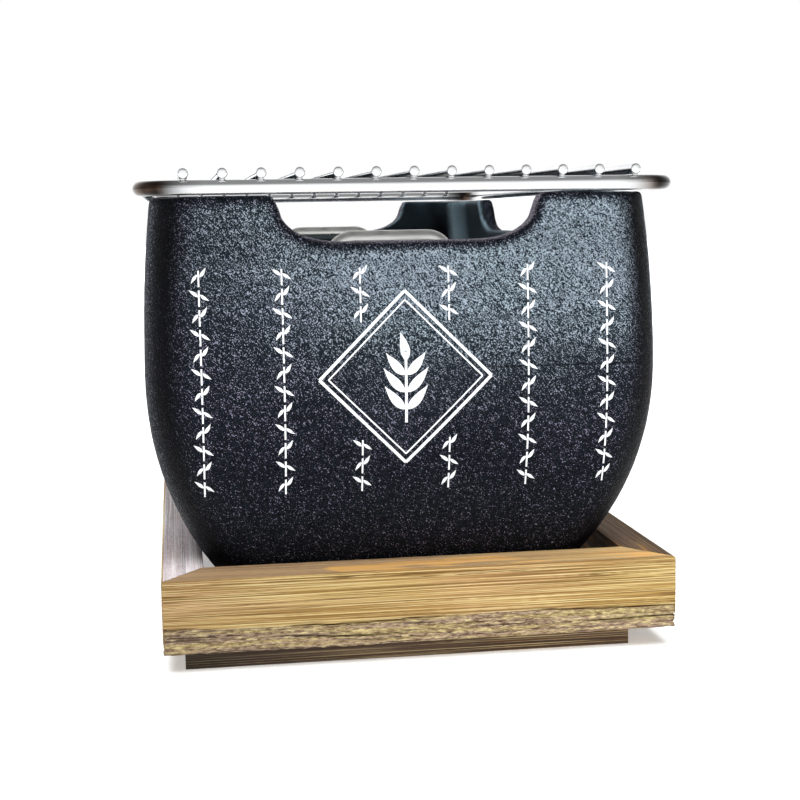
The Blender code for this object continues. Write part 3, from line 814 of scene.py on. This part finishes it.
def make_ornament(casting, material):
    """A painted pattern of leaves on both end walls, laid on the casting's own surface."""
    bm = bmesh.new()
    bm.from_mesh(casting.data)
    skin = BVHTree.FromBMesh(bm)
    bm.free()
    for name, side in (("front_ornament", -1), ("back_ornament", 1)):
        bm = bmesh.new()
        for strip in ornament_strips():
            rings = []
            for pair in strip:
                outer, inner = [], []
                for u, z in pair:
                    x = CAST_X - side * u
                    hit = skin.ray_cast(Vector((x, side * 0.2, z)), Vector((0, -side, 0)))[0]
                    outer.append(bm.verts.new((x, hit.y + side * PAINT, z)))
                    inner.append(bm.verts.new((x, hit.y - side * 2 * PAINT, z)))
                rings.append((outer[0], outer[1], inner[1], inner[0]))
            for first, second in zip(rings, rings[1:]):
                bridge(bm, first, second)
            bm.faces.new(rings[0])
            bm.faces.new(reversed(rings[-1]))
        mesh = finished(bm, name, outward=True)
        add_piece(add_object(name, mesh, material), "firebox", "coated_casting")


# -------------------- timber
def section_points(width, height, soft, steps):
    """Points round a rail's section with eased edges: (v, h, normal v, normal h, face).

    v runs from the outer face inwards and h upwards. steps gives the spacing of the
    points on the outer, lower, inner and upper faces.
    """
    far_v, far_h = width - soft, height - soft
    sides = (                   # face, its length, its points, the centre of the edge after it
        ("outer", far_h - soft, lambda t: (0, far_h - t, -1, 0), (soft, soft)),
        ("lower", far_v - soft, lambda t: (soft + t, 0, 0, -1), (far_v, soft)),
        ("inner", far_h - soft, lambda t: (width, soft + t, 1, 0), (far_v, far_h)),
        ("upper", far_v - soft, lambda t: (far_v - t, height, 0, 1), (soft, far_h)),
    )
    points = []
    for index, (face, length, run, (cv, ch)) in enumerate(sides):
        count = max(2, round(length / steps[index]))
        for k in range(count + 1):
            points.append((*run(length * k / count), face))
        for k in (1, 2):
            angle = math.pi + QUARTER * index + QUARTER * k / 3
            nv, nh = math.cos(angle), math.sin(angle)
            points.append((cv + soft * nv, ch + soft * nh, nv, nh, "edge"))
    return points


def growth(u, v, h, seed):
    """How strong the late-wood line is at a point in the timber, 0 to 1."""
    wander = noise((u * 14, v * 9, h * 9 + seed)) * 1.5 * MM
    wander += noise((u * 60, v * 80, h * 80 + 3 * seed)) * 0.25 * MM
    ring = math.hypot(v - PITH_V, h - PITH_H) + wander
    phase = (ring / RING_PITCH) % 1.0
    rise = clamp((phase - 0.35) / 0.5)
    fall = min(1.0, (1.0 - phase) / 0.12)
    return rise * rise * fall


def torn_band(u, h, top, seed):
    """How torn the lower part of a sawn face is, and the cracks along it and through it."""
    edge = top + noise((u * 22, seed, 0)) * 1.2 * MM
    edge += noise((u * 140, seed, 5)) * 0.35 * MM
    torn = clamp((edge - h) / (0.5 * MM))
    gap = abs(h - edge) / (0.28 * MM)
    open_here = noise((u * 30, seed, 9))
    crack = max(0.0, 1.0 - gap) * clamp(open_here * 3 + 0.75)
    second = edge * 0.52 + noise((u * 35, seed, 20)) * 0.9 * MM
    gap = abs(h - second) / (0.30 * MM)
    open_here = noise((u * 24, seed, 31))
    return torn, max(crack, max(0.0, 1.0 - gap) * clamp(open_here * 4 + 0.2))


def make_timber(name, length, width, height, material, seed, mitre=0.0, torn_height=0.0,
                aged=(0.0, 0.7, 1.0, 1.0), steps=(0.3, 0.9, 0.9, 0.5), along=1.3, soft=0.7):
    """A length of wood with growth-line relief, eased edges and a torn lower edge.

    Local axes: x along it, y from the outer face inwards, z up, from the outer face's
    lower edge. mitre is how much shorter each end is at the inner face. aged and steps
    (mm) are for the outer, lower, inner and upper faces; along and soft are in mm.
    """
    aged = dict(zip(("outer", "lower", "inner", "upper"), aged))
    section = section_points(width, height, soft * MM, [s * MM for s in steps])
    stations = max(8, round(length / (along * MM)))
    verts, zones = [], []
    for station in range(stations + 1):
        t = 2 * station / stations - 1
        for v, h, nv, nh, face in section:
            u = t * (length / 2 - mitre * v / width)
            ring = growth(u, v, h, seed)
            torn = crack = 0.0
            if torn_height and v < 0.35 * width:
                torn, crack = torn_band(u, h, torn_height, seed)
            pit = noise((u * 420, v * 700, h * 900 + seed))
            splinter = noise((u * 90, v * 500, h * 700 + seed))
            depth = 0.05 * (1 - ring) + 0.04 * pit
            depth += torn * (0.25 + 0.30 * pit + 0.18 * splinter) + 0.8 * crack
            if torn and h < soft * MM * 1.2:
                depth += 0.1 * max(0.0, splinter + 0.1)
            v2, h2 = v - nv * depth * MM, h - nh * depth * MM
            u2 = t * (length / 2 - mitre * max(0.0, v2) / width)
            verts.append((u2, v2, h2))
            # Eased edges go with the face they lean to. The upper outer edge goes with the outer
            # face, and growth lines on edges that go with a side face are fainter: a painted
            # highlight along the upper outer edge.
            if face == "edge":
                face = "upper" if h > height / 2 else "lower"
                if nv * nv > 0.5 or (v < width / 2 and h > height / 2):
                    face = "outer" if v < width / 2 else "inner"
                    ring *= 0.3
            blotch = noise((u * 40, v * 200, h * 200))
            share = clamp(aged[face] + 0.25 * blotch)
            zones.append((ring, torn, share * (1 - torn), crack))
    around = len(section)
    faces = []
    for station in range(stations):
        for k in range(around):
            n = (k + 1) % around
            a, b = station * around, (station + 1) * around
            faces.append((a + k, b + k, b + n, a + n))
    faces.append(tuple(range(around)))
    faces.append(tuple(reversed(range(stations * around, (stations + 1) * around))))
    mesh = bpy.data.meshes.new(name)
    mesh.from_pydata(verts, [], faces)
    write_zones(mesh, zones)
    bm = bmesh.new()
    bm.from_mesh(mesh)
    bmesh.ops.recalc_face_normals(bm, faces=bm.faces)
    bm.to_mesh(mesh)
    bm.free()
    smooth_mesh(mesh, 60)
    return add_object(name, mesh, material)


def set_down(obj, place, turn, outward):
    """Turns a timber about the vertical and sets its outer face outward from a place."""
    obj.matrix_world = (
        Matrix.Translation(place)
        @ Matrix.Rotation(math.radians(turn), 4, "Z")
        @ Matrix.Translation((0, -outward, 0))
    )


def make_rails():
    """The mitred frame, each rail weathered in its own way."""
    tan = {"fresh": (0.50, 0.345, 0.120), "line": (0.27, 0.145, 0.035), "torn": (0.36, 0.27, 0.12)}
    grey_brown = {"wear_and_lighting": (0.42, 0.27, 0.145), "worn_line": (0.80, 0.42, 0.11)}
    pinkish = {"wear_and_lighting": (0.74, 0.62, 0.64), "worn_line": (0.46, 0.35, 0.33)}
    burnt = {"wear_and_lighting": (0.15, 0.085, 0.045), "worn_line": (0.50, 0.22, 0.05)}
    rails = (                   # name, turn, its wood, seed, height of the torn band, mesh size
        ("front", 0, wood("wood_front", **tan, **grey_brown, seed=1.0, warm=0.6), FRONT_TORN, 1.0),
        ("right", 90, wood("wood_right", **tan, **burnt, seed=2.0), OTHER_TORN, 1.6),
        ("back", 180, wood("wood_back", **tan, **grey_brown, seed=3.0), OTHER_TORN, 1.6),
        ("left", 270, wood("wood_left", **tan, **pinkish, seed=4.0), OTHER_TORN, 1.6),
    )
    low, front_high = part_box("base_rail_front")
    right_low, right_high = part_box("base_rail_right")
    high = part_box("base_rail_back")[1]
    middle_x = (low.x + high.x) / 2
    half_x = right_high.x - middle_x
    end_width = front_high.y - low.y
    side_width = right_high.x - right_low.x
    for index, (name, turn, looks, torn_height, along) in enumerate(rails):
        ends = name in ("front", "back")
        length, reach = (2 * half_x, high.y) if ends else (2 * high.y, half_x)
        width, mitre = (end_width, side_width) if ends else (side_width, end_width)
        rail = make_timber(
            f"{name}_rail", length - RAIL_PLAY, width, high.z - low.z, looks, 5.0 + 7 * index,
            mitre=mitre, torn_height=torn_height, along=along,
        )
        set_down(rail, (middle_x, 0, low.z), turn, reach)
        add_piece(rail, "base", "wood", f"base_rail_{name}")


def make_battens():
    """The two dark battens under the frame."""
    # Their tones paint shade: much darker at the left end, brighter from the middle on.
    dark = wood(
        "dark_wood", fresh=(0.10, 0.055, 0.025), line=(0.035, 0.018, 0.008),
        wear_and_lighting=(0.085, 0.055, 0.037), worn_line=(0.12, 0.055, 0.02), torn=(0.10, 0.075, 0.05),
        seed=9.0, tones=(0.30, 1.5),
    )
    for name, turn in (("front", 0), ("back", 180)):
        low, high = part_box(f"base_batten_{name}")
        size = high - low
        batten = make_timber(
            f"{name}_batten", size.x, size.y, size.z, dark, 40.0 + turn, aged=(0.6, 0.6, 0.6, 0.6),
            steps=(0.4, 1.2, 1.2, 1.2), along=1.5, soft=0.5,
        )
        middle = (low + high) / 2
        set_down(batten, (middle.x, middle.y, low.z), turn, size.y / 2)
        add_piece(batten, "base", "dark_wood", f"base_batten_{name}")


# -------------------- grates
def nodes_from(start):
    return sorted(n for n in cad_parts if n.startswith(start))


def closer_points(outline, spacing):
    """The closed outline with its long sides split up."""
    points = []
    for (x1, y1), (x2, y2) in zip(outline, outline[1:] + outline[:1]):
        count = max(1, round(math.hypot(x2 - x1, y2 - y1) / spacing))
        points += [(x1 + (x2 - x1) * k / count, y1 + (y2 - y1) * k / count) for k in range(count)]
    return points


def round_frame(name, node, corner, material, body, slot):
    """A closed ring of rod in place of a CAD frame."""
    low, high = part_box(node)
    radius = (high.z - low.z) / 2
    middle = (low + high) / 2
    half = (high - low) / 2
    outline = closer_points(
        rounded_rectangle(half.x - radius, half.y - radius, corner, 14), FRAME_SPACING
    )
    points = [(middle.x + x, middle.y + y, middle.z) for x, y in outline]
    ring = sweep(name, points, radius, (0, 0, 1), material, closed=True, sides=24)
    return add_piece(ring, body, slot, node)


def round_bars(node_start, axis, material, body, slot, name, sunk=0.0):
    """A rod with softly rounded ends in place of each CAD bar of a row, sunk by its weld."""
    index = "XYZ".index(axis)
    for node in nodes_from(node_start):
        low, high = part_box(node)
        radius = (high.z - low.z) / 2
        middle = (low + high) / 2
        start, end = middle.copy(), middle.copy()
        start[index], end[index] = low[index], high[index]
        start.z -= sunk
        end.z -= sunk
        bar = sweep(f"{name}_{node[-2:]}", (start, end), radius, (0, 0, 1), material)
        add_piece(bar, body, slot, node)


def paint_corner_reflections(ring):
    """Marks how far dark reflections are painted on the frame's corners, as its first zone."""
    places = np.array([v.co for v in ring.data.vertices])
    x, y = np.abs(places[:, 0] - places[:, 0].mean()), np.abs(places[:, 1])
    amount = ramp(x, x.max() - DARK_REFLECTION_X[0], x.max() - DARK_REFLECTION_X[1])
    amount *= ramp(y, y.max() - DARK_REFLECTION_Y[0], y.max() - DARK_REFLECTION_Y[1])
    write_zones(ring.data, np.stack([amount, 0 * x, 0 * x, 0 * x + 1], axis=1))


def weld_beads(name, places, size_mm, material, body, slot):
    """Small spot welds where rods cross, as one piece."""
    bm = bmesh.new()
    for place in places:
        bead = bmesh.ops.create_uvsphere(bm, u_segments=12, v_segments=8, radius=1.0)["verts"]
        bmesh.ops.scale(bm, vec=[s * MM for s in size_mm], verts=bead)
        bmesh.ops.translate(bm, vec=place, verts=bead)
    mesh = finished(bm, name)
    mesh.shade_smooth()
    add_piece(add_object(name, mesh, material), body, slot)


def make_cooking_grate(bright, weld):
    """The upper grate: its ring, its rods and the welds that hold them."""
    look = ("cooking_grate", "polished_steel")
    ring = round_frame("cooking_frame", "cooking_grate_frame", COOKING_CORNER, bright, *look)
    paint_corner_reflections(ring)
    ring.data.transform(Matrix.Translation((0, 0, -NESTED)))
    round_bars("cooking_grate_rod", "Y", bright, *look, "cooking_rod", SUNK)
    low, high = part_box("cooking_grate_frame")
    radius = (high.z - low.z) / 2
    places = []
    for node in nodes_from("cooking_grate_rod"):
        rod_low, rod_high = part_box(node)
        x = (rod_low.x + rod_high.x) / 2
        places += [(x, y, high.z - NESTED + 0.1 * MM) for y in (low.y + radius, high.y - radius)]
    weld_beads("cooking_welds", places, (0.8, 0.8, 0.35), weld, *look)


def handle_route(low, high, radius, bend):
    """Up one leg, round, across and down the other leg."""
    y = (low.y + high.y) / 2
    middle = (low.x + high.x) / 2
    leg = middle - (high.x - low.x) / 2 + radius
    top = high.z - radius
    left = [(leg, y, low.z), (leg, y, (low.z + top) / 2)]
    for step in range(11):
        angle = QUARTER * step / 10
        left.append((leg + bend * (1 - math.cos(angle)), y, top - bend * (1 - math.sin(angle))))
    return left + [(2 * middle - x, y, z) for x, y, z in reversed(left)]


def make_charcoal_grate(smooth, dull):
    """The lower grate: a dull ring with cross bars, and two smoother lifting handles."""
    look = ("charcoal_grate", "plain_steel")
    round_frame("charcoal_frame", "charcoal_grate_frame", CHARCOAL_CORNER, dull, *look)
    round_bars("charcoal_grate_bar", "X", dull, *look, "charcoal_bar")
    low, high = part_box("charcoal_grate_frame")
    radius = (high.z - low.z) / 2
    places, feet = [], []
    for node in nodes_from("charcoal_grate_bar"):
        bar_low, bar_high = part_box(node)
        y = (bar_low.y + bar_high.y) / 2
        places += [(x, y, high.z + 0.15 * MM) for x in (low.x + radius, high.x - radius)]
    weld_beads("charcoal_welds", places, (1.4, 1.2, 0.6), dull, *look)
    for end in ("front", "back"):
        node = f"charcoal_grate_handle_{end}"
        low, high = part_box(node)
        radius = (high.y - low.y) / 2
        route = handle_route(low, high, radius, HANDLE_BEND)
        handle = sweep(f"{end}_handle", route, radius, (0, 1, 0), smooth, sides=28, fillet=0.2)
        add_piece(handle, "charcoal_grate", "polished_steel", node)
        y = (low.y + high.y) / 2
        feet += [(x, y, low.z - 0.1 * MM) for x in (low.x + radius, high.x - radius)]
    weld_beads("handle_welds", feet, (3.3, 3.0, 0.9), dull, *look)


# -------------------- vents and nails
def soften(node, width, material):
    """Keeps a CAD node's shape, with small rounded edges and its own finish."""
    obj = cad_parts[node]
    weld = obj.modifiers.new("weld", "WELD")
    weld.merge_threshold = 0.01 * MM
    edges = obj.modifiers.new("edges", "BEVEL")
    edges.width = width
    edges.segments = 2
    edges.limit_method = "ANGLE"
    edges.angle_limit = math.radians(35)
    obj.data.materials.clear()
    obj.data.materials.append(material)


def make_vents(zinc):
    widths = {"door": 0.15, "knob": 0.2, "guide_lower": 0.15, "guide_upper": 0.15}
    widths.update({f"rivet_{number}": 0.1 for number in range(1, 5)})
    for side in ("left", "right"):
        for part, width in widths.items():
            soften(f"{side}_vent_{part}", width * MM, zinc)


# -------------------- studio
def make_floor():
    bm = bmesh.new()
    bmesh.ops.create_grid(bm, x_segments=1, y_segments=1, size=6.0)
    floor = add_object("floor", finished(bm, "floor"), floor_material())


def make_camera():
    """Low in front of the left end of the grill, looking slightly right and down."""
    yaw, pitch, roll = (math.radians(a) for a in (8.53, 7.1, -0.9))
    level = Vector((math.sin(yaw), math.cos(yaw), 0))
    forward = math.cos(pitch) * level - math.sin(pitch) * Vector((0, 0, 1))
    right = Vector((math.cos(yaw), -math.sin(yaw), 0))
    up = right.cross(forward)
    right, up = (
        math.cos(roll) * right + math.sin(roll) * up,
        math.cos(roll) * up - math.sin(roll) * right,
    )
    data = bpy.data.cameras.new("camera")
    data.lens = 66.95
    data.sensor_width = 36.0
    camera = add_object("camera", data)
    turn = Matrix((right, up, -forward)).transposed().to_4x4()
    camera.matrix_world = Matrix.Translation((-0.0623, -0.5118, 0.1201)) @ turn
    bpy.context.scene.camera = camera


def soft_sun(name, azimuth, elevation, spread, strength, colour=(1, 1, 1)):
    """An even soft light from a far panel that mirrors don't show.

    Azimuth 0 is the front, +90 the right side.
    """
    data = bpy.data.lights.new(name, "SUN")
    data.angle = math.radians(spread)
    data.energy = strength
    data.color = colour
    light = add_object(name, data)
    a, e = math.radians(azimuth), math.radians(elevation)
    towards = Vector((math.sin(a) * math.cos(e), -math.cos(a) * math.cos(e), math.sin(e)))
    light.rotation_euler = towards.to_track_quat("Z", "Y").to_euler()
    light.visible_glossy = False


def make_light():
    """A high soft key in front, a weaker one behind, and a white backdrop.

    The room that lights the grill is pale in front and behind, dim at the sides and
    overhead. The room that its steel mirrors is brighter and dims less.
    """
    soft_sun("key", azimuth=-6, elevation=60, spread=40, strength=3.8, colour=(0.97, 0.99, 1.0))
    soft_sun("back", azimuth=185, elevation=60, spread=50, strength=0.8)
    world = bpy.data.worlds.new("studio")
    bpy.context.scene.world = world
    world.use_nodes = True
    tree = world.node_tree
    backdrop = tree.nodes["Background"]
    backdrop.inputs["Color"].default_value = (1.0, 1.0, 1.0, 1.0)
    direction = add_node(tree, "TexCoord").outputs["Generated"]
    sideways, _, upwards = axes_of(tree, direction)
    sideways = maths(tree, "ABSOLUTE", sideways)
    lighting, mirrored = (
        maths(tree, "MULTIPLY", remap(tree, upwards, *by_height), remap(tree, sideways, *by_side))
        for by_height, by_side in (
            ((0.20, 0.60, 1.0, 0.22), (0.35, 0.75, 1.0, 0.05)),
            ((0.34, 0.74, 1.6, 0.40), (0.35, 0.95, 1.0, 0.45)),
        )
    )
    ray = add_node(tree, "LightPath").outputs
    level = add_node(tree, "Mix", {0: ray["Is Glossy Ray"], 2: lighting, 3: mirrored})
    room = add_node(tree, "Background", {"Strength": level.outputs[0]})
    both = add_node(
        tree, "MixShader",
        {
            0: ray["Is Camera Ray"], 1: room.outputs["Background"],
            2: backdrop.outputs["Background"],
        },
    )
    tree.links.new(both.outputs["Shader"], tree.nodes["World Output"].inputs["Surface"])
    bpy.context.scene.view_settings.view_transform = "Standard"


# -------------------- assembly
make_camera()
make_floor()
make_light()
BRIGHT = polished_steel("polished_steel", 0.14, (0.80, 0.81, 0.82))
HANDLE = polished_steel("handle_steel", 0.26, (0.80, 0.80, 0.77))
WELD = polished_steel("weld_steel", 0.50, (0.92, 0.92, 0.92))
DULL = plain_steel("plain_steel", (0.34, 0.33, 0.32), 0.42)
ZINC = plain_steel("vent_steel", (0.42, 0.42, 0.41), 0.36)
NAIL = plain_steel("nail_steel", (0.20, 0.18, 0.16), 0.5)
CASTING = make_casting(coated_casting())
make_ornament(CASTING, white_paint())
make_rails()
make_battens()
make_cooking_grate(BRIGHT, WELD)
make_charcoal_grate(HANDLE, DULL)
make_vents(ZINC)
for number in range(1, 5):
    soften(f"batten_nail_{number}", 0.1 * MM, NAIL)
